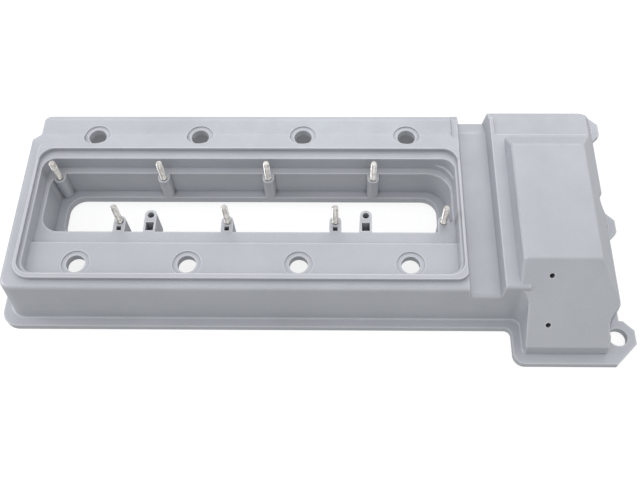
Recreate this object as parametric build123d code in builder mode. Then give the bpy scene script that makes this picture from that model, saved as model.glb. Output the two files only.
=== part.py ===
from build123d import *
import os
from math import radians, tan

os.makedirs("parts", exist_ok=True)

# Engine bank, all sizes in millimetres
bore_pitch = 98.0
bays = 4
draft = 6.0
wall = 4.0

# How far a cutting or joining block runs past the face that it meets
past = 10.0
short_past = 5.0
side_past = 2.0
overlap = 8.0
hidden_r = 1.0

# Base flange on the gasket plane, z = 0
flange_t = 7.0
flange_left = -282.5
flange_front = -100.5
case_flange_front = -134.0
flange_corner_r = 15.0
inner_corner_r = 6.0
front_ledge = 14.0
left_ledge = 12.0
back_ledge = 13.7
case_left_ledge = 8.5
case_front_ledge = 9.0
right_ledge = 5.555
land_w = 4.0
groove_w = 3.5
groove_d = 2.5
groove_inset = 4.5
groove_hole_gap = 1.5
case_flange_corner_r = 10.0
case_flange_in = 6.0

# Bolt lobes down the open end of the timing case
lobe_front_in = 25.5
lobe_pitch = 113.5
lobe_set_in = 3.0
lobe_apothem = 15.5
scallop_r = (14.5, 13.0, 14.5)
lobe_cut = 12.5
fixing_hole_r = 8.25

# Cam section, outer heights and edges
shoulder_z = 55.0
lip_h = 3.5
strip_z = 50.0
body_corner_r = 13.0
front_corner_r = 16.0
notch_back_out = 1.0
notch_front_in = 8.0
back_top = 103.3
back_bevel_w = 5.9
back_bevel_slope = 24.0
strip_w = 23.6
strip_step = 6.5
band_w = 22.2
band_top_z = 59.0
first_bay_in = 72.1
last_bay_out = 47.9
cam_end_draft = 11.0
rim_w = 4.5
rim_h = 3.0
rim_front_in = 14.0
rim_back_in = 3.0
rim_chamfer = (1.5, 2.5)
shoulder_round = 3.5
edge_round = 2.0
bevel_round = 6.0
box_round = 2.5
rim_bevel = 1.6
toe_corner_r = 5.0
deck_round = 3.0
foot_round = 2.0
case_corner_r = 8.0

# Tray inside the raised lip
shoulder_w_left = 9.9
shoulder_w_front = 8.5
lip_corner_r = 16.0
lip_w_left = 2.6
lip_w_right = 2.3
lip_w_front = 4.5
lip_w_back = 0.5
lip_right_corner_r = 11.2
lip_right_out = 1.5
lip_back_in = 6.0
lip_fall = (12.0, 10.0)
tray_corner_r = 13.5
seal_corner_r = 11.5
seal_d = 3.2
seal_w_left = 3.4
seal_w_right = 2.6
seal_w_front = 2.0
seal_w_back = 9.2
shelf_z = 47.0
coil_z = 42.0
coil_step_w = 14.3

# Coil well and the long opening in its floor
ledge_w_left = 4.6
ledge_w_right = 3.1
ledge_w_back = 7.5
well_w = 63.3
well_corner_r = 16.0
well_far_corner_r = 22.0
well_draft = 3.5
inner_flange_z = 14.5
inner_flange_t = 8.0
inner_ledge_left = 10.4
inner_ledge_right = 10.1
inner_ledge_front = 10.0
inner_ledge_back = 9.3
opening_corner_r = 15.0

# Cover fixings, one pair for each bay
back_hole_in = 2.7
front_hole_in = 13.5
spot_r = 12.4
spot_d = 1.0
hole_pad_t = 7.0
hole_pad_r = 14.0

# Coil studs, one pair for each bay
coil_in = 28.4
stud_dx = 31.65
stud_dy = 23.5
stud_r = 2.95
stud_seat_r = 3.5
stud_clearance = 0.05
stud_out = 24.0
stud_in = 14.0
stud_chamfer = 0.7
boss_r = 5.4
boss_sink = 0.5
lock_hole = 4.2
lock_hole_dy = 7.7
lock_hole_d = 8.0

# Clip bosses with a round hole and a pocket, in every other bay
clip_dx = 59.3
clip_hole_in = 17.6
clip_hole_r = 3.0
clip_pocket_in = 5.8
clip_pocket_w = 7.0
clip_pocket_l = 8.5
clip_d = 12.0

# Valley between the cam section and the timing case
valley_z = 44.0
valley_w = 29.0
valley_bevel_w = 16.6

# Deck and raised box of the timing case
deck_z = 59.0
deck_w = 13.6
deck_recess_z = 57.0
deck_rim_w = 5.0
deck_recess_gap = 0.7
deck_back_w = 30.0
deck_bevel_w = 9.7
deck_corner_r = 18.0
deck_front_out = 7.0
box_front_step = 8.1
box_step_in = 2.5
box_z = 75.0
box_toe_z = 18.0
box_back_w = 22.2
box_top_w = 67.6
box_chamfer_w = 17.7
box_right_edge_z = 48.0
cover_screw_in = 18.0
cover_screw_z = (64.0, 32.5)
cover_screw_r = 2.2
cover_screw_d = 9.0
cover_screw_boss_r = 5.5
cover_screw_floor = 3.0

# Slopes and places along the engine, left to right
lean = tan(radians(draft))
bevel_fall = tan(radians(back_bevel_slope))
shoulder_left = flange_left + left_ledge
body_left = shoulder_left - shoulder_z * lean
strip_left = shoulder_left + strip_step
lip_left = shoulder_left + shoulder_w_left
tray_left = lip_left + lip_w_left
seal_left = tray_left + seal_w_left
well_left = seal_left + ledge_w_left
opening_left = well_left + inner_ledge_left
bay_x = [flange_left + first_bay_in + bore_pitch * i for i in range(bays)]
clip_x = [x + clip_dx for x in bay_x[::2]]
cam_right = bay_x[-1] + last_bay_out
tray_right = cam_right - lip_w_right
seal_right = tray_right - seal_w_right
well_right = seal_right - ledge_w_right
opening_right = well_right - inner_ledge_right
valley_right = cam_right + valley_w
deck_recess_left = valley_right + deck_rim_w
box_left = valley_right + deck_w
box_front_left = box_left + box_front_step
case_flange_left = box_front_left - case_left_ledge
cover_screw_x = box_front_left + cover_screw_in
box_right_top = box_left + box_top_w
box_right_edge = box_right_top + box_chamfer_w
body_right = box_right_edge + box_right_edge_z * lean
case_flange_right = body_right + right_ledge
lobe_x = case_flange_right - lobe_set_in
groove_right = lobe_x - fixing_hole_r - groove_hole_gap
right_land_x = groove_right - groove_w - land_w

# Places across the engine, front to back
lip_z = shoulder_z + lip_h
shoulder_front = flange_front + front_ledge
body_front = shoulder_front - shoulder_z * lean
lip_front = shoulder_front + shoulder_w_front
tray_front = lip_front + lip_w_front
seal_front = tray_front + seal_w_front
front_hole_y = seal_front + front_hole_in
body_back = back_top + strip_z * lean
flange_back = back_top + back_ledge
back_bevel_y = back_top - back_bevel_w
valley_back = back_top - valley_bevel_w
crease_y = back_top - strip_w
back_hole_y = crease_y - back_hole_in
band_top_y = crease_y - band_w
tray_back = band_top_y - lip_w_back
seal_back = tray_back - seal_w_back
well_back = seal_back - ledge_w_back
opening_back = well_back - inner_ledge_back
coil_y = well_back - coil_in
well_front = well_back - well_w
opening_front = well_front + inner_ledge_front
shelf_back = well_front - coil_step_w
clip_hole_y = well_front + clip_hole_in
clip_pocket_y = well_front + clip_pocket_in
box_front = case_flange_front + case_front_ledge
box_toe_y = box_front + box_toe_z * lean
box_crease_y = box_toe_y + box_z - box_toe_z
box_step_y = shoulder_front + box_step_in
deck_bevel_y = back_top - deck_bevel_w
box_back_foot = back_top - deck_back_w
box_back_top = box_back_foot - box_back_w
deck_recess_front = box_back_foot + deck_recess_gap
lobe_y = [case_flange_front + lobe_front_in + lobe_pitch * i for i in range(3)]
lobe_flat = lobe_apothem * tan(radians(22.5))
case_depth = flange_back - case_flange_front

# Heights that follow from others
seal_z = lip_z - seal_d
inner_flange_bottom = inner_flange_z - inner_flange_t
back_spot_z = strip_z - spot_d
front_spot_z = shelf_z - spot_d


def rounded_face(corners):
    """Face through corners given as x, y and radius; a corner with no radius stays sharp."""
    with BuildSketch() as plan:
        with BuildLine():
            Polyline(*[corner[:2] for corner in corners], close=True)
        make_face()
        for corner in corners:
            if len(corner) == 3:
                fillet(plan.vertices().sort_by_distance(Vector(*corner[:2]))[0], corner[2])
    return plan.sketch


def corner_rectangle(left, right, front, back, radii):
    """Face with its own radius at each corner: front-left, front-right, back-right, back-left."""
    places = [(left, front), (right, front), (right, back), (left, back)]
    return rounded_face([(x, y, radius) for (x, y), radius in zip(places, radii)])


def edges_near(part, x=None, y=None, z=None, reach=0.1, long=0.0):
    """Edges longer than long whose middle lies within reach of each place given."""
    found = ShapeList()
    for edge in part.edges():
        middle = edge.center()
        gaps = [abs(a - b) for a, b in ((middle.X, x), (middle.Y, y), (middle.Z, z)) if b is not None]
        if max(gaps) <= reach and edge.length > long:
            found.append(edge)
    return found


def back_height(y_from, z_from):
    """Height reached at the top of the back wall by the bevel that starts at y_from."""
    return z_from - (back_top - y_from) * bevel_fall


def block_profile(front_y, top_z, bevel_y, inset=0.0):
    """Section across the cover, front wall to back wall, for a flat-topped stretch."""
    top = top_z - inset
    return [
        (front_y + inset, 0),
        (front_y + top_z * lean + inset, top, shoulder_round),
        (bevel_y - inset * 0.3, top, bevel_round),
        (back_top - inset, back_height(bevel_y, top_z) - inset, edge_round),
        (body_back - inset, 0),
    ]


def box_profile(inset=0.0):
    """Section through the raised box, from its front foot over the sloping face to the deck."""
    return [
        (box_front + inset, 0),
        (box_toe_y + inset, box_toe_z - inset * 0.4, edge_round),
        (box_crease_y + inset * 0.4, box_z - inset, box_round),
        (box_back_top - inset * 0.4, box_z - inset, box_round),
        (box_back_foot - inset, deck_recess_z - inset),
        (box_back_foot - inset, 0),
    ]


def cam_profile(inset=0.0):
    """Section through the cam section below its shoulder height."""
    rise = (band_top_z - strip_z) / (crease_y - band_top_y)
    band_y = crease_y - (shoulder_z - strip_z) / rise
    return [
        (body_front + inset, 0),
        (shoulder_front + inset, shoulder_z - inset),
        (band_y, shoulder_z - inset),
        (crease_y, strip_z - inset),
        (back_bevel_y - inset * 0.3, strip_z - inset, bevel_round),
        (back_top - inset, back_height(back_bevel_y, strip_z) - inset, edge_round),
        (body_back - inset, 0),
    ]


def right_profile(left_x, inset=0.0):
    """Section along the cover over the chamfered right side, closed at left_x."""
    return [
        (left_x, box_z - inset),
        (box_right_top - inset * 0.4, box_z - inset),
        (box_right_edge - inset, box_right_edge_z - inset * 0.4),
        (body_right - inset, 0),
        (left_x, 0),
    ]


def cam_outline(inset=0.0):
    """Plan of the cam section at the gasket plane, with the stepped corner beside the strip."""
    notch_x = strip_left - shoulder_z * lean
    points = [
        (body_left + inset, body_front + inset),
        (case_flange_right, body_front + inset),
        (case_flange_right, body_back - inset),
        (notch_x + inset, body_back - inset),
        (notch_x + inset, crease_y + notch_back_out - inset),
        (body_left + inset, crease_y - notch_front_in - inset),
    ]
    with BuildSketch() as plan:
        with BuildLine():
            Polyline(*points, close=True)
        make_face()
        fillet(plan.vertices().sort_by_distance(Vector(*points[0]))[0], front_corner_r - inset)
        fillet(plan.vertices().sort_by_distance(Vector(*points[3]))[0], body_corner_r - inset)
    return plan.sketch


def end_trim():
    """Everything left of the drafted wall that drops from the lip to the valley floor."""
    lean_out = tan(radians(cam_end_draft))
    with BuildPart() as trim:
        with BuildSketch(Plane.XZ.offset(-flange_back)):
            with BuildLine():
                Polyline(
                    (flange_left, 0),
                    (cam_right + lip_z * lean_out, 0),
                    (cam_right - side_past * lean_out, lip_z + side_past),
                    (flange_left, lip_z + side_past),
                    close=True,
                )
            make_face()
        extrude(amount=case_depth)
    return trim.part


def cover_screw_places():
    """Place of each screw hole on the sloping front face, square to that face."""
    places = []
    for z in cover_screw_z:
        y = box_crease_y - (box_z - z)
        places.append(Location((cover_screw_x, y, z), (45, 0, 0)))
    return places


def stud_places():
    """Name, x and y of each coil stud, back and front of each bay."""
    places = []
    for number, x in enumerate(bay_x, start=1):
        places.append((f"coil_stud_back_{number}", x - stud_dx, coil_y + stud_dy))
        places.append((f"coil_stud_front_{number}", x + stud_dx, coil_y - stud_dy))
    return places


# Outer cam section with its notched back corner and drafted end wall
with BuildPart() as cam_outer:
    with BuildSketch(Plane.YZ.offset(flange_left)):
        add(rounded_face(cam_profile()))
    extrude(amount=cam_right + 2 * past - flange_left)
    with BuildSketch():
        add(cam_outline())
    extrude(amount=lip_z + past, taper=draft, mode=Mode.INTERSECT)
    add(end_trim(), mode=Mode.INTERSECT)
    top_face = cam_outer.faces().filter_by(Axis.Z).sort_by(SortBy.AREA)[-2:].sort_by(Axis.Z)[-1]
    fillet(top_face.edges().filter_by(Axis.X).sort_by(Axis.Y)[0], shoulder_round)

# Lip block above the shoulder, with the band that falls to the back strip
with BuildPart() as lip_block:
    with BuildSketch(Plane.YZ.offset(lip_left)):
        with BuildLine():
            Polyline(
                (lip_front, strip_z),
                (lip_front, lip_z),
                (tray_back - lip_fall[0], lip_z),
                (tray_back - lip_fall[1], band_top_z),
                (band_top_y, band_top_z),
                (crease_y, strip_z),
                close=True,
            )
        make_face()
    extrude(amount=cam_right + past - lip_left)
    with BuildSketch(Plane.XY.offset(strip_z)):
        add(
            corner_rectangle(
                lip_left, cam_right + lip_right_out, lip_front, crease_y - lip_back_in,
                (lip_corner_r, lip_right_corner_r, 2 * hidden_r, lip_corner_r),
            )
        )
    extrude(amount=lip_z, mode=Mode.INTERSECT)
    add(end_trim(), mode=Mode.INTERSECT)

# Rim that closes the strip beside the valley
with BuildPart() as strip_rim:
    with BuildSketch(Plane.YZ.offset(cam_right - rim_w)):
        with BuildLine():
            Polyline(
                (crease_y - rim_front_in, strip_z - overlap),
                (crease_y - rim_front_in, strip_z + rim_h),
                (back_bevel_y - rim_back_in, strip_z + rim_h),
                (back_top, back_height(back_bevel_y, strip_z)),
                (back_top, strip_z - overlap),
                close=True,
            )
        make_face()
    extrude(amount=rim_w + 2 * past)
    add(end_trim(), mode=Mode.INTERSECT)
    chamfer(strip_rim.faces().sort_by(Axis.X)[0].edges().sort_by(Axis.Z)[-1], *rim_chamfer)

# Timing case: valley and deck
with BuildPart() as case_outer:
    with BuildSketch(Plane.YZ.offset(cam_right - overlap)):
        add(rounded_face(block_profile(body_front, valley_z, valley_back)))
    extrude(amount=valley_right - cam_right + 2 * overlap)
    foot = valley_right - valley_z * lean
    with BuildSketch(Plane.XY):
        add(
            corner_rectangle(
                foot, body_right, box_crease_y, body_back,
                (hidden_r, hidden_r, deck_corner_r, hidden_r),
            )
        )
    extrude(amount=deck_z, taper=draft)
    with BuildSketch(Plane.XY):
        add(
            corner_rectangle(
                foot, box_front_left + deck_front_out, body_front, box_crease_y + 3 * past,
                (hidden_r,) * 4,
            )
        )
    extrude(amount=deck_z, taper=draft)
    recess_back = body_back + short_past
    with BuildSketch(Plane.YZ.offset(valley_right - past)):
        with BuildLine():
            Polyline(
                (deck_bevel_y, deck_recess_z),
                (recess_back, deck_recess_z - (recess_back - deck_bevel_y) * bevel_fall),
                (recess_back, deck_z + short_past),
                (deck_bevel_y, deck_z + short_past),
                close=True,
            )
        make_face()
    extrude(amount=body_right - valley_right + 3 * past, mode=Mode.SUBTRACT)
    with BuildSketch(Plane.XY.offset(deck_recess_z)):
        with Locations(((deck_recess_left + body_right) / 2, (deck_recess_front + recess_back) / 2)):
            Rectangle(body_right - deck_recess_left, recess_back - deck_recess_front)
    extrude(amount=past, mode=Mode.SUBTRACT)
    with BuildSketch(Plane.XZ.offset(-body_back - past)):
        add(rounded_face(right_profile(cam_right - overlap)))
    extrude(amount=2 * (body_back + past), mode=Mode.INTERSECT)
    deck_edges = edges_near(case_outer, x=valley_right, z=deck_z, reach=0.5, long=bore_pitch)
    deck_edges += edges_near(case_outer, y=body_front + deck_z * lean, z=deck_z, reach=0.5, long=wall)
    fillet(deck_edges, deck_round)

# Raised box of the timing case, stepped back at the front of its left side
with BuildPart() as box_outer:
    with BuildSketch(Plane.YZ.offset(box_left - side_past)):
        add(rounded_face(box_profile()))
    extrude(amount=body_right - box_left + side_past)
    with BuildSketch(Plane.XZ.offset(-body_back)):
        add(
            rounded_face([
                (box_left - 0.2, deck_z - wall),
                (box_left + (box_z - deck_z) * lean, box_z),
                *right_profile(box_front_left)[1:],
                (box_front_left, deck_z - wall),
            ])
        )
    extrude(amount=body_back - box_front + 2 * past, mode=Mode.INTERSECT)
    side_edges = edges_near(box_outer, x=box_right_top, z=box_z, long=wall)
    side_edges += edges_near(box_outer, x=box_right_edge, z=box_right_edge_z, long=wall)
    fillet(side_edges, box_round)
    with BuildSketch(Plane.XY):
        with Locations(((box_left - side_past + box_front_left) / 2, (box_front + box_step_y) / 2)):
            Rectangle(box_front_left - box_left + side_past, box_step_y - box_front)
        with Locations((box_front_left + toe_corner_r / 2, box_front + toe_corner_r / 2)):
            Rectangle(toe_corner_r, toe_corner_r)
        with Locations((box_front_left + toe_corner_r, box_front + toe_corner_r)):
            Circle(toe_corner_r, mode=Mode.SUBTRACT)
    extrude(amount=box_z + short_past, mode=Mode.SUBTRACT)
    rim_edges = edges_near(box_outer, x=box_left + (box_z - deck_z) * lean, z=box_z, long=wall)
    slope_y = (box_step_y + box_crease_y) / 2
    rim_edges += edges_near(box_outer, x=box_left + 0.8, y=slope_y, reach=1.5, long=wall)
    chamfer(rim_edges, rim_bevel)

# Base flange with its bolt lobes
with BuildPart() as base_flange:
    with BuildSketch() as flange_plan:
        add(
            corner_rectangle(
                flange_left, case_flange_right, flange_front, flange_back,
                (flange_corner_r, hidden_r, hidden_r, flange_corner_r),
            )
        )
        add(
            corner_rectangle(
                case_flange_left, lobe_x - case_flange_in, case_flange_front, flange_front + 2 * past,
                (case_flange_corner_r, hidden_r, hidden_r, hidden_r),
            )
        )
        inner = flange_plan.vertices().sort_by_distance(
            Vector(case_flange_left, flange_front)
        )[0]
        fillet(inner, inner_corner_r)
    extrude(amount=flange_t)
    with BuildSketch():
        for y in lobe_y:
            with Locations((lobe_x, y)):
                RegularPolygon(lobe_apothem, 8, major_radius=False, rotation=22.5)
        with BuildLine():
            Polyline(
                (lobe_x + lobe_apothem, lobe_y[0] - lobe_flat),
                (lobe_x + lobe_apothem + case_flange_front - lobe_y[0] + lobe_flat, case_flange_front),
                (lobe_x - 2 * lobe_apothem, case_flange_front),
                (lobe_x - 2 * lobe_apothem, lobe_y[0] - lobe_flat),
                close=True,
            )
        make_face()
    extrude(amount=flange_t)

# Hollow underside: each outer block again, one wall thickness smaller, less the walls of the well
with BuildPart() as hollow:
    with BuildSketch(Plane.YZ.offset(body_left)):
        add(rounded_face(cam_profile(wall)))
    extrude(amount=cam_right - wall - body_left)
    with BuildSketch():
        add(cam_outline(wall))
    extrude(amount=lip_z, taper=draft, mode=Mode.INTERSECT)
    with BuildSketch(Plane.YZ.offset(cam_right - wall - side_past)):
        add(rounded_face(block_profile(body_front, valley_z, valley_back, wall)))
    extrude(amount=valley_right - cam_right + 3 * wall)
    with BuildSketch(Plane.YZ.offset(valley_right + wall)):
        add(rounded_face(block_profile(body_front, deck_recess_z, deck_bevel_y, wall)))
    extrude(amount=body_right - valley_right)

# Space under the raised box
with BuildPart() as box_hollow:
    with BuildSketch(Plane.YZ.offset(box_left + 1.5 * wall)):
        add(rounded_face(box_profile(wall)))
    extrude(amount=body_right - box_left)
    with BuildSketch():
        with Locations(((box_left + box_front_left + wall) / 2, (box_front + box_step_y + wall) / 2)):
            Rectangle(box_front_left + wall - box_left, box_step_y + wall - box_front)
    extrude(amount=box_z, mode=Mode.SUBTRACT)

# Walls that stay round the tray and the coil well
with BuildPart() as well_walls:
    with BuildSketch(Plane.XY.offset(shelf_z - wall - 1)):
        add(
            corner_rectangle(
                seal_left - wall, seal_right + wall, seal_front - wall, seal_back + wall,
                (tray_corner_r,) * 4,
            )
        )
    extrude(amount=lip_z)
    with BuildSketch(Plane.XY.offset(coil_z - wall - 0.5)):
        add(
            corner_rectangle(
                seal_left - wall, seal_right + wall, shelf_back - wall, seal_back + wall,
                (2, 2, tray_corner_r, tray_corner_r),
            )
        )
    extrude(amount=lip_z)
    with BuildSketch(Plane.XY.offset(coil_z)):
        add(
            corner_rectangle(
                well_left - wall, well_right + wall, well_front - wall, well_back + wall,
                (well_corner_r + wall,) * 4,
            )
        )
    extrude(amount=inner_flange_bottom - coil_z, taper=well_draft)

# Whole space under the casting, less the walls, the hole pads and the lands of the lobes
with BuildPart() as underside:
    add(hollow.part)
    add(box_hollow.part)
    with BuildSketch(Plane.XZ.offset(-body_back - past)):
        add(rounded_face(right_profile(body_left, wall)))
    extrude(amount=2 * (body_back + past), mode=Mode.INTERSECT)
    add(well_walls.part, mode=Mode.SUBTRACT)
    for x in bay_x:
        with Locations((x, back_hole_y, back_spot_z - hole_pad_t + past)):
            Cylinder(hole_pad_r, 2 * past, mode=Mode.SUBTRACT)
        with Locations((x, front_hole_y, front_spot_z - hole_pad_t + past)):
            Cylinder(hole_pad_r, 2 * past, mode=Mode.SUBTRACT)
    for y, radius in zip(lobe_y, scallop_r):
        with Locations((lobe_x, y, box_z / 2)):
            Cylinder(radius + wall, box_z + 2 * past, mode=Mode.SUBTRACT)
    with Locations((lobe_x - lobe_cut - wall + lobe_apothem, lobe_y[0] - lobe_apothem, box_z / 2)):
        Box(2 * lobe_apothem, 2 * lobe_apothem, box_z + 2 * past, mode=Mode.SUBTRACT)
    with Locations(((right_land_x + body_right) / 2, flange_back - case_depth / 2, flange_t / 2)):
        Box(body_right - right_land_x, case_depth, flange_t, mode=Mode.SUBTRACT)
    for place in cover_screw_places():
        with Locations(place):
            Cylinder(cover_screw_boss_r, 2 * (cover_screw_d + cover_screw_floor), mode=Mode.SUBTRACT)

# Tray space, coil well and opening, cut from above
with BuildPart() as well_space:
    with BuildSketch(Plane.XY.offset(seal_z)):
        add(
            corner_rectangle(
                tray_left, tray_right, tray_front, tray_back, (tray_corner_r,) * 4,
            )
        )
    extrude(amount=past)
    with BuildSketch(Plane.XY.offset(seal_z)):
        add(
            corner_rectangle(
                seal_left, seal_right, seal_front, seal_back, (seal_corner_r,) * 4,
            )
        )
    extrude(amount=shelf_z - seal_z, taper=draft)
    with BuildSketch(Plane.XY.offset(seal_z)):
        add(
            corner_rectangle(
                seal_left, seal_right, shelf_back, seal_back,
                (hidden_r, hidden_r, well_far_corner_r, seal_corner_r),
            )
        )
    extrude(amount=coil_z - seal_z, taper=draft / 2)
    with BuildSketch(Plane.XY.offset(coil_z + 1)):
        add(
            corner_rectangle(
                well_left, well_right, well_front, well_back,
                (well_corner_r, well_corner_r, well_far_corner_r, well_corner_r),
            )
        )
    extrude(amount=inner_flange_z - coil_z - 1, taper=well_draft)
    with BuildSketch():
        add(
            corner_rectangle(
                opening_left, opening_right, opening_front, opening_back,
                (opening_corner_r,) * 4,
            )
        )
    extrude(amount=coil_z)

# Outer casting in one piece, before it is hollowed
with BuildPart() as outer:
    add(cam_outer.part)
    add(case_outer.part)
    add(lip_block.part)
    add(strip_rim.part)
    add(box_outer.part)
    add(base_flange.part)
    for y, radius in zip(lobe_y, scallop_r):
        with Locations((lobe_x, y, flange_t + box_z / 2)):
            Cylinder(radius, box_z, mode=Mode.SUBTRACT)
    with Locations((lobe_x - lobe_cut + lobe_apothem, lobe_y[0] - lobe_apothem, flange_t + box_z / 2)):
        Box(2 * lobe_apothem, 2 * lobe_apothem, box_z, mode=Mode.SUBTRACT)
    fillet(edges_near(outer, y=crease_y, z=strip_z, reach=0.5, long=bore_pitch), edge_round)
    corner_y = (body_front + shoulder_front) / 2
    corner = edges_near(outer, x=box_front_left, y=corner_y, reach=1, long=4 * wall)
    fillet([e for e in corner if abs(e.tangent_at(0.5).Z) > 0.8], case_corner_r)
    foot_y = body_front + flange_t * lean
    fillet(edges_near(outer, y=foot_y, z=flange_t, reach=0.3, long=bore_pitch), foot_round)

# Stud columns on the well wall, stud tabs and clip tabs on the front edge of the well
with BuildPart() as bosses:
    with BuildSketch(Plane.XY.offset(coil_z)):
        for name, x, y in stud_places():
            with Locations((x, y)):
                Circle(boss_r)
            reach = well_back + side_past if y > coil_y else well_front - side_past
            with Locations((x, (y + reach) / 2)):
                Rectangle(2 * boss_r, abs(reach - y))
    extrude(amount=inner_flange_z - boss_sink - coil_z)
    with BuildSketch(Plane.XY.offset(coil_z)):
        for x in clip_x:
            with Locations((x, clip_hole_y)):
                Circle(boss_r)
            with Locations((x, (clip_hole_y + well_front - side_past) / 2)):
                Rectangle(2 * boss_r, clip_hole_y - well_front + side_past)
        with Locations((bay_x[-1] + stud_dx + boss_r, coil_y - stud_dy - boss_r)):
            Rectangle(2 * boss_r, 2 * boss_r)
    extrude(amount=inner_flange_z - boss_sink - coil_z)

# The casting
with BuildPart() as cover:
    add(outer.part)
    add(underside.part, mode=Mode.SUBTRACT)
    add(well_space.part, mode=Mode.SUBTRACT)
    add(bosses.part)
    for x in bay_x:
        with Locations((x, back_hole_y, back_spot_z + past), (x, front_hole_y, front_spot_z + past)):
            Cylinder(spot_r, 2 * past, mode=Mode.SUBTRACT)
        with Locations((x, back_hole_y, strip_z), (x, front_hole_y, strip_z)):
            Cylinder(fixing_hole_r, 3 * past, mode=Mode.SUBTRACT)
    for y in lobe_y:
        with Locations((lobe_x, y, flange_t / 2)):
            Cylinder(fixing_hole_r, 2 * flange_t, mode=Mode.SUBTRACT)
    for name, x, y in stud_places():
        with Locations((x, y, coil_z - stud_in / 2)):
            Cylinder(stud_seat_r + stud_clearance, stud_in, mode=Mode.SUBTRACT)
        if y < coil_y and x < bay_x[-1]:
            with Locations((x, y - lock_hole_dy, coil_z - lock_hole_d / 2)):
                Box(lock_hole, lock_hole, lock_hole_d, mode=Mode.SUBTRACT)
    for x in clip_x:
        with Locations((x, clip_hole_y, coil_z - clip_d / 2)):
            Cylinder(clip_hole_r, clip_d, mode=Mode.SUBTRACT)
        with Locations((x, clip_pocket_y, coil_z - clip_d / 2)):
            Box(clip_pocket_w, clip_pocket_l, clip_d, mode=Mode.SUBTRACT)
    for place in cover_screw_places():
        with Locations(place):
            Cylinder(cover_screw_r, 2 * cover_screw_d, mode=Mode.SUBTRACT)
    with BuildSketch():
        for inset, mode in ((0, Mode.ADD), (groove_w, Mode.SUBTRACT)):
            edge = groove_inset + inset
            add(
                corner_rectangle(
                    flange_left + edge, groove_right - inset, flange_front + edge, flange_back - edge,
                    (flange_corner_r - edge, hidden_r, case_flange_corner_r, flange_corner_r - edge),
                ),
                mode=mode,
            )
            add(
                corner_rectangle(
                    case_flange_left + edge, groove_right - inset,
                    case_flange_front + edge, flange_front + 3 * past,
                    (case_flange_corner_r - edge / 2,) * 2 + (hidden_r,) * 2,
                ),
                mode=mode,
            )
    extrude(amount=groove_d, mode=Mode.SUBTRACT)
cover.part.label = "cover_casting"
export_step(cover.part, "parts/cover_casting.step")

# Coil studs, seated on the floors of their holes
for name, x, y in stud_places():
    with BuildPart() as stud:
        with Locations((x, y, coil_z - stud_in / 2)):
            Cylinder(stud_seat_r, stud_in)
        with Locations((x, y, coil_z + stud_out / 2)):
            Cylinder(stud_r, stud_out)
        chamfer(stud.edges().group_by(Axis.Z)[-1], stud_chamfer)
    stud.part.label = name
    export_step(stud.part, f"parts/{name}.step")
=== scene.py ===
import math

import bpy
from mathutils import Matrix, Vector


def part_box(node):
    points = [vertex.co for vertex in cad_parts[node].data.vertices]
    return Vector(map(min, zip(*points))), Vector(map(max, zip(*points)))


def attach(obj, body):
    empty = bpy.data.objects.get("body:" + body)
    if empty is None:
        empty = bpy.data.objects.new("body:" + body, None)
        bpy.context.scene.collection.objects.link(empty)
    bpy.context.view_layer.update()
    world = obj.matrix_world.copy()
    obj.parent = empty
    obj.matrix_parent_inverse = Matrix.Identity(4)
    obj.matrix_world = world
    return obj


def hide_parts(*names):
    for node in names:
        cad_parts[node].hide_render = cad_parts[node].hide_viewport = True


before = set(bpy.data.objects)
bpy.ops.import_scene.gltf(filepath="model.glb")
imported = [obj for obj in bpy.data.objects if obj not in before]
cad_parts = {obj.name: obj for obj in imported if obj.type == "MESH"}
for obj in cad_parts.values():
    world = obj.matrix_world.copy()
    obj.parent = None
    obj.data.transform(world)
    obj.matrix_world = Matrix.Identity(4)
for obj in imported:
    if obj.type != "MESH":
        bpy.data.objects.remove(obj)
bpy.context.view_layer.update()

# Camera, in millimetres and degrees, fitted to the photograph
camera_mm = (29.06, -380.7, 659.77)
camera_down = 61.564
camera_yaw = -1.937
camera_roll = -1.481
camera_lens = 44.668
camera_shift = (-0.0242, 0.0237)

# Light: world level, then each soft lamp with its size, place and power
world_level = 0.55
lamps = {
    "back_low_lamp": {"size": (2.6, 0.9), "place": (0.1, 2.0, 0.75), "power": 8.4},
    "back_high_lamp": {"size": (2.6, 1.2), "place": (0.1, 1.7, 1.5), "power": 17.0},
    "top_lamp": {"size": (1.6, 1.6), "place": (0.0, 0.2, 2.1), "power": 2.6},
    "front_lamp": {"size": (2.6, 1.2), "place": (0.1, -1.5, 1.7), "power": 10.5},
    "left_lamp": {"size": (0.9, 2.0), "place": (-2.0, 0.1, 1.0), "power": 21.0},
    "right_lamp": {"size": (0.9, 2.0), "place": (2.0, 0.1, 1.0), "power": 8.1},
}
lamp_colour = (0.96, 0.965, 1.0)
lamp_aim = (0.0, 0.0, 0.03)

# Floor: its glow is given for the light it throws, then as the camera sees it
floor_colour = (0.22, 0.22, 0.22, 1.0)
floor_glow = (0.4, 0.85)
floor_roughness = 0.9
floor_size = 14.0
floor_drop = 0.0003

# Casting paint, lengths in metres; a band is the stretch of a mask that is spread over its whole range
noise_band = (0.35, 0.65)
cloud_scale = 14.0
wear_scale = 60.0
paint_light = (0.472, 0.491, 0.521, 1.0)
paint_dark = (0.436, 0.455, 0.482, 1.0)
paint_metallic = 0.35
paint_roughness = (0.46, 0.58)
speck_dark = (0.30, 0.30, 0.31, 1.0)
speck_light = (0.70, 0.70, 0.71, 1.0)
speck_share = 0.09
speck_band = (0.3, 0.7)
# Painted highlight: a lighter colour on convex edges, standing in for light catching the rounded edges
edge_highlight_colour = (0.70, 0.71, 0.725, 1.0)
edge_highlight_share = 0.55
edge_highlight_reach = 0.0018
edge_highlight_band = (0.55, 0.95)
# Painted shade: the colour is darkened in corners and holes
corner_shade = 0.33
corner_reach = 0.0045
corner_band = (0.0, 0.75)
soft_edge = 0.001
grain_size = 0.0008
grain_depth = 0.00007
grain_strength = 0.8
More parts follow.
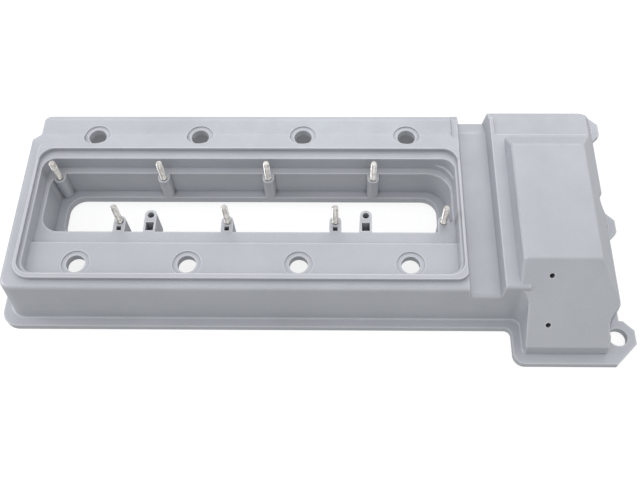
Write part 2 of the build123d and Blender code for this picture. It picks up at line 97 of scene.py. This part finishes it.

# Stud steel, with painted shade in the bottom of its thread
steel_dark = (0.44, 0.425, 0.40, 1.0)
steel_light = (0.70, 0.68, 0.645, 1.0)
steel_roughness = 0.3
steel_wear_scale = 260.0
groove_shade = 0.12
groove_reach = 0.001
groove_band = (0.25, 0.8)

# Stud thread: it starts at the boss, with the seated end below
thread_radius = 0.00295
thread_pitch = 0.001
thread_depth = 0.00055
thread_flank = 2.2
thread_steps = 24
rows_per_turn = 6
thread_start = 0.042
stud_chamfer = 0.0007


def new_material(name):
    """Empty node material with its principled shader, as (material, node tree, shader)."""
    material = bpy.data.materials.new(name)
    material.use_nodes = True
    tree = material.node_tree
    shader = tree.nodes["Principled BSDF"]
    return material, tree, shader


def noise(tree, coordinates, scale, detail):
    """Noise texture over the object's own coordinates, in metres."""
    node = tree.nodes.new("ShaderNodeTexNoise")
    node.inputs["Scale"].default_value = scale
    node.inputs["Detail"].default_value = detail
    tree.links.new(coordinates, node.inputs["Vector"])
    return node.outputs["Fac"]


def span(tree, value, source, target):
    """Maps a value from the source range onto the target range, held at its ends."""
    node = tree.nodes.new("ShaderNodeMapRange")
    ends = (*source, *target)
    for socket, end in zip(("From Min", "From Max", "To Min", "To Max"), ends):
        node.inputs[socket].default_value = end
    tree.links.new(value, node.inputs["Value"])
    return node.outputs["Result"]


def openness(tree, distance, inside=False):
    """How open the surface is within a distance: low in corners, or on edges when looked at from inside."""
    node = tree.nodes.new("ShaderNodeAmbientOcclusion")
    node.samples = 8
    node.inside = inside
    node.inputs["Distance"].default_value = distance
    return node.outputs["AO"]


def mix_colour(tree, factor, first, second, blend="MIX"):
    """Colour mix whose factor, first and second are sockets or plain values."""
    node = tree.nodes.new("ShaderNodeMix")
    node.data_type = "RGBA"
    node.blend_type = blend
    for socket, value in ((node.inputs[0], factor), (node.inputs[6], first), (node.inputs[7], second)):
        if isinstance(value, bpy.types.NodeSocket):
            tree.links.new(value, socket)
        else:
            socket.default_value = value
    return node.outputs[2]


def casting_paint():
    """Matte silver paint over a fine sand-cast grain, with painted shade in corners and holes and a painted
    highlight on edges.
    """
    material, tree, shader = new_material("casting_paint")
    place = tree.nodes.new("ShaderNodeTexCoord").outputs["Object"]
    cloud = span(tree, noise(tree, place, cloud_scale, 3.0), noise_band, (0.0, 1.0))
    speck = span(tree, noise(tree, place, 1.0 / grain_size, 2.0), speck_band, (0.0, 1.0))
    colour = mix_colour(tree, cloud, paint_dark, paint_light)
    colour = mix_colour(tree, speck_share, colour, mix_colour(tree, speck, speck_dark, speck_light))
    # Painted highlight: lightens the colour on convex edges
    painted_edge_highlight = span(tree, openness(tree, edge_highlight_reach, inside=True), edge_highlight_band, (edge_highlight_share, 0.0))
    colour = mix_colour(tree, painted_edge_highlight, colour, edge_highlight_colour)
    # Painted shade: multiplies the colour darker in corners and holes
    painted_corner_shade = span(tree, openness(tree, corner_reach), corner_band, (corner_shade, 1.0))
    colour = mix_colour(tree, 1.0, colour, painted_corner_shade, "MULTIPLY")
    tree.links.new(colour, shader.inputs["Base Color"])
    roughness = span(tree, noise(tree, place, wear_scale, 4.0), noise_band, paint_roughness)
    tree.links.new(roughness, shader.inputs["Roughness"])
    shader.inputs["Metallic"].default_value = paint_metallic
    bevel = tree.nodes.new("ShaderNodeBevel")
    bevel.samples = 6
    bevel.inputs["Radius"].default_value = soft_edge
    bump = tree.nodes.new("ShaderNodeBump")
    bump.inputs["Distance"].default_value = grain_depth
    bump.inputs["Strength"].default_value = grain_strength
    tree.links.new(noise(tree, place, 1.0 / grain_size, 3.0), bump.inputs["Height"])
    tree.links.new(bevel.outputs["Normal"], bump.inputs["Normal"])
    tree.links.new(bump.outputs["Normal"], shader.inputs["Normal"])
    return material


def stud_steel():
    """Plated steel with a slight warm tint, with painted shade in the bottom of the thread."""
    material, tree, shader = new_material("stud_steel")
    place = tree.nodes.new("ShaderNodeTexCoord").outputs["Object"]
    wear = span(tree, noise(tree, place, steel_wear_scale, 3.0), noise_band, (0.0, 1.0))
    colour = mix_colour(tree, wear, steel_dark, steel_light)
    # Painted shade: multiplies the colour darker in the thread grooves
    painted_groove_shade = span(tree, openness(tree, groove_reach), groove_band, (groove_shade, 1.0))
    colour = mix_colour(tree, 1.0, colour, painted_groove_shade, "MULTIPLY")
    tree.links.new(colour, shader.inputs["Base Color"])
    shader.inputs["Metallic"].default_value = 1.0
    shader.inputs["Roughness"].default_value = steel_roughness
    return material


def threaded_stud(node_name, material):
    """Stud with a rolled thread above the boss, standing for the plain rod of the same name."""
    low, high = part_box(node_name)
    centre_x, centre_y = (low.x + high.x) / 2, (low.y + high.y) / 2
    seat = (high.x - low.x) / 2
    rows = [(low.z, seat - stud_chamfer), (low.z + stud_chamfer, seat), (thread_start, seat)]
    count = int((high.z - thread_start) / thread_pitch * rows_per_turn)
    for i in range(count + 1):
        rows.append((thread_start + i * (high.z - thread_start) / count, None))
    vertices = []
    for z, fixed in rows:
        for j in range(thread_steps):
            angle = 2 * math.pi * j / thread_steps
            turn = (z / thread_pitch - j / thread_steps) % 1.0
            groove = thread_depth * min(1.0, thread_flank * abs(turn - 0.5))
            tip = thread_radius - stud_chamfer + high.z - z
            r = fixed or min(thread_radius - groove, tip)
            vertices.append((centre_x + r * math.cos(angle), centre_y + r * math.sin(angle), z))
    faces = []
    for i in range(len(rows) - 1):
        for j in range(thread_steps):
            k = (j + 1) % thread_steps
            a = i * thread_steps
            b = a + thread_steps
            faces.append((a + j, a + k, b + k, b + j))
    faces.append(tuple(reversed(range(thread_steps))))
    faces.append(tuple(range((len(rows) - 1) * thread_steps, len(rows) * thread_steps)))
    mesh = bpy.data.meshes.new(node_name + "_threaded")
    mesh.from_pydata(vertices, [], faces)
    mesh.update()
    mesh.materials.append(material)
    stud = bpy.data.objects.new(node_name + "_threaded", mesh)
    bpy.context.scene.collection.objects.link(stud)
    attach(stud, "root")
    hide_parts(node_name)


def set_material(obj, material):
    """Paints an imported object through its material slots."""
    for slot in obj.material_slots:
        slot.link = "OBJECT"
        slot.material = material


def soft_lamp(name, size, place, power):
    """Rectangular lamp aimed at the middle of the object."""
    data = bpy.data.lights.new(name, "AREA")
    data.shape = "RECTANGLE"
    data.size, data.size_y = size
    data.energy = power
    data.color = lamp_colour
    lamp = bpy.data.objects.new(name, data)
    lamp.location = place
    aim = Vector(lamp_aim) - lamp.location
    lamp.rotation_euler = aim.to_track_quat("-Z", "Y").to_euler()
    bpy.context.scene.collection.objects.link(lamp)


def white_floor():
    """Pale floor under the object, wide enough to fill the picture."""
    bpy.ops.mesh.primitive_plane_add(size=floor_size, location=(0.0, 0.0, -floor_drop))
    floor = bpy.context.object
    floor.name = "floor"
    material, tree, shader = new_material("floor_white")
    shader.inputs["Base Color"].default_value = floor_colour
    shader.inputs["Roughness"].default_value = floor_roughness
    shader.inputs["Specular IOR Level"].default_value = 0.0
    shader.inputs["Emission Color"].default_value = (1.0, 1.0, 1.0, 1.0)
    path = tree.nodes.new("ShaderNodeLightPath")
    glow = span(tree, path.outputs["Is Camera Ray"], (0.0, 1.0), floor_glow)
    tree.links.new(glow, shader.inputs["Emission Strength"])
    floor.data.materials.append(material)


def pale_world():
    """Even world light, with a white backdrop for low views."""
    world = bpy.data.worlds.new("studio")
    bpy.context.scene.world = world
    world.use_nodes = True
    tree = world.node_tree
    back = tree.nodes["Background"]
    back.inputs["Color"].default_value = (1.0, 1.0, 1.0, 1.0)
    path = tree.nodes.new("ShaderNodeLightPath")
    level = span(tree, path.outputs["Is Camera Ray"], (0.0, 1.0), (world_level, 1.0))
    tree.links.new(level, back.inputs["Strength"])


def fitted_camera():
    """Camera at the place and angle the photograph was taken from."""
    down, yaw, roll = (math.radians(a) for a in (camera_down, camera_yaw, camera_roll))
    forward = Vector((math.sin(yaw) * math.cos(down), math.cos(yaw) * math.cos(down), -math.sin(down)))
    level = Vector((math.cos(yaw), -math.sin(yaw), 0.0))
    upward = level.cross(forward)
    right = level * math.cos(roll) + upward * math.sin(roll)
    up = upward * math.cos(roll) - level * math.sin(roll)
    turn = Matrix((right, up, -forward)).transposed().to_4x4()
    data = bpy.data.cameras.new("camera")
    data.sensor_width = 36.0
    data.lens = camera_lens
    data.shift_x, data.shift_y = camera_shift
    camera = bpy.data.objects.new("camera", data)
    camera.matrix_world = Matrix.Translation(Vector(camera_mm) / 1000.0) @ turn
    bpy.context.scene.collection.objects.link(camera)
    bpy.context.scene.camera = camera


paint = casting_paint()
steel = stud_steel()
for name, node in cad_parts.items():
    if name.startswith("coil_stud"):
        threaded_stud(name, steel)
    else:
        set_material(node, paint)
white_floor()
pale_world()
for lamp_name, lamp in lamps.items():
    soft_lamp(lamp_name, **lamp)
fitted_camera()
bpy.context.scene.view_settings.view_transform = "Standard"
